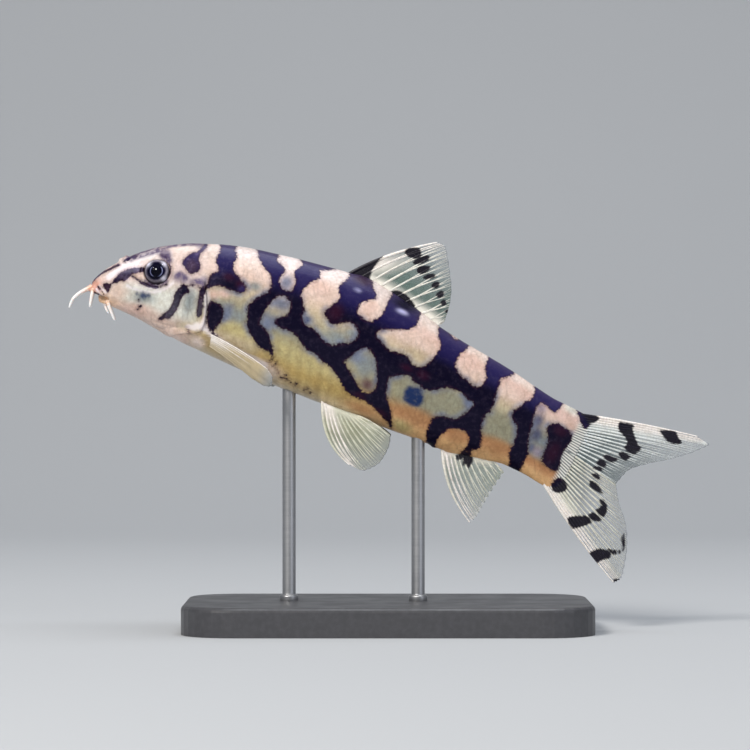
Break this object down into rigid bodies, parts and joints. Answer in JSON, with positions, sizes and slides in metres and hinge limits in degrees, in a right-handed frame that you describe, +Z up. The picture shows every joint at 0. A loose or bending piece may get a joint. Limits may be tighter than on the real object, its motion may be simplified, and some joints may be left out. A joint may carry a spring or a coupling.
{
  "type": "yoyo loach",
  "caption": "Still life-size yoyo loach swimming nose up, dark net pattern on cream, fins spread, held on a flat plain stand by two short rods.",
  "frame": {"origin": "on the floor under the middle of the part, at the underside of the stand's base", "axes": "+X from the head to the tail, +Y from the fish's left side to its right side, +Z up"},
  "size_m": [0.1107, 0.04, 0.0668],
  "materials": {
    "head_skin": "wet, glossy",
    "body_skin": "wet, glossy, fine scales, dark net on cream",
    "eye": "polished",
    "barbel_skin": "smooth, moist",
    "fin_membrane": "thin, clear between pale rays",
    "stand_base": "satin",
    "stand_rod": "brushed"
  },
  "bodies": {
    "root": {"head": "head_skin", "trunk": "body_skin", "tail_stem": "body_skin", "eye_left": "eye", "eye_right": "eye", "barbel_snout_front_left": "barbel_skin", "barbel_snout_front_right": "barbel_skin", "barbel_snout_rear_left": "barbel_skin", "barbel_snout_rear_right": "barbel_skin", "barbel_mouth_left": "barbel_skin", "barbel_mouth_right": "barbel_skin", "barbel_chin_left": "barbel_skin", "barbel_chin_right": "barbel_skin", "dorsal_fin": "fin_membrane", "anal_fin": "fin_membrane", "pelvic_fin_left": "fin_membrane", "pelvic_fin_right": "fin_membrane", "pectoral_fin_left": "fin_membrane", "pectoral_fin_right": "fin_membrane", "tail_fin_upper": "fin_membrane", "tail_fin_lower": "fin_membrane", "stand_base": "stand_base", "stand_rod_front": "stand_rod", "stand_rod_rear": "stand_rod"}
  },
  "joints": []
}
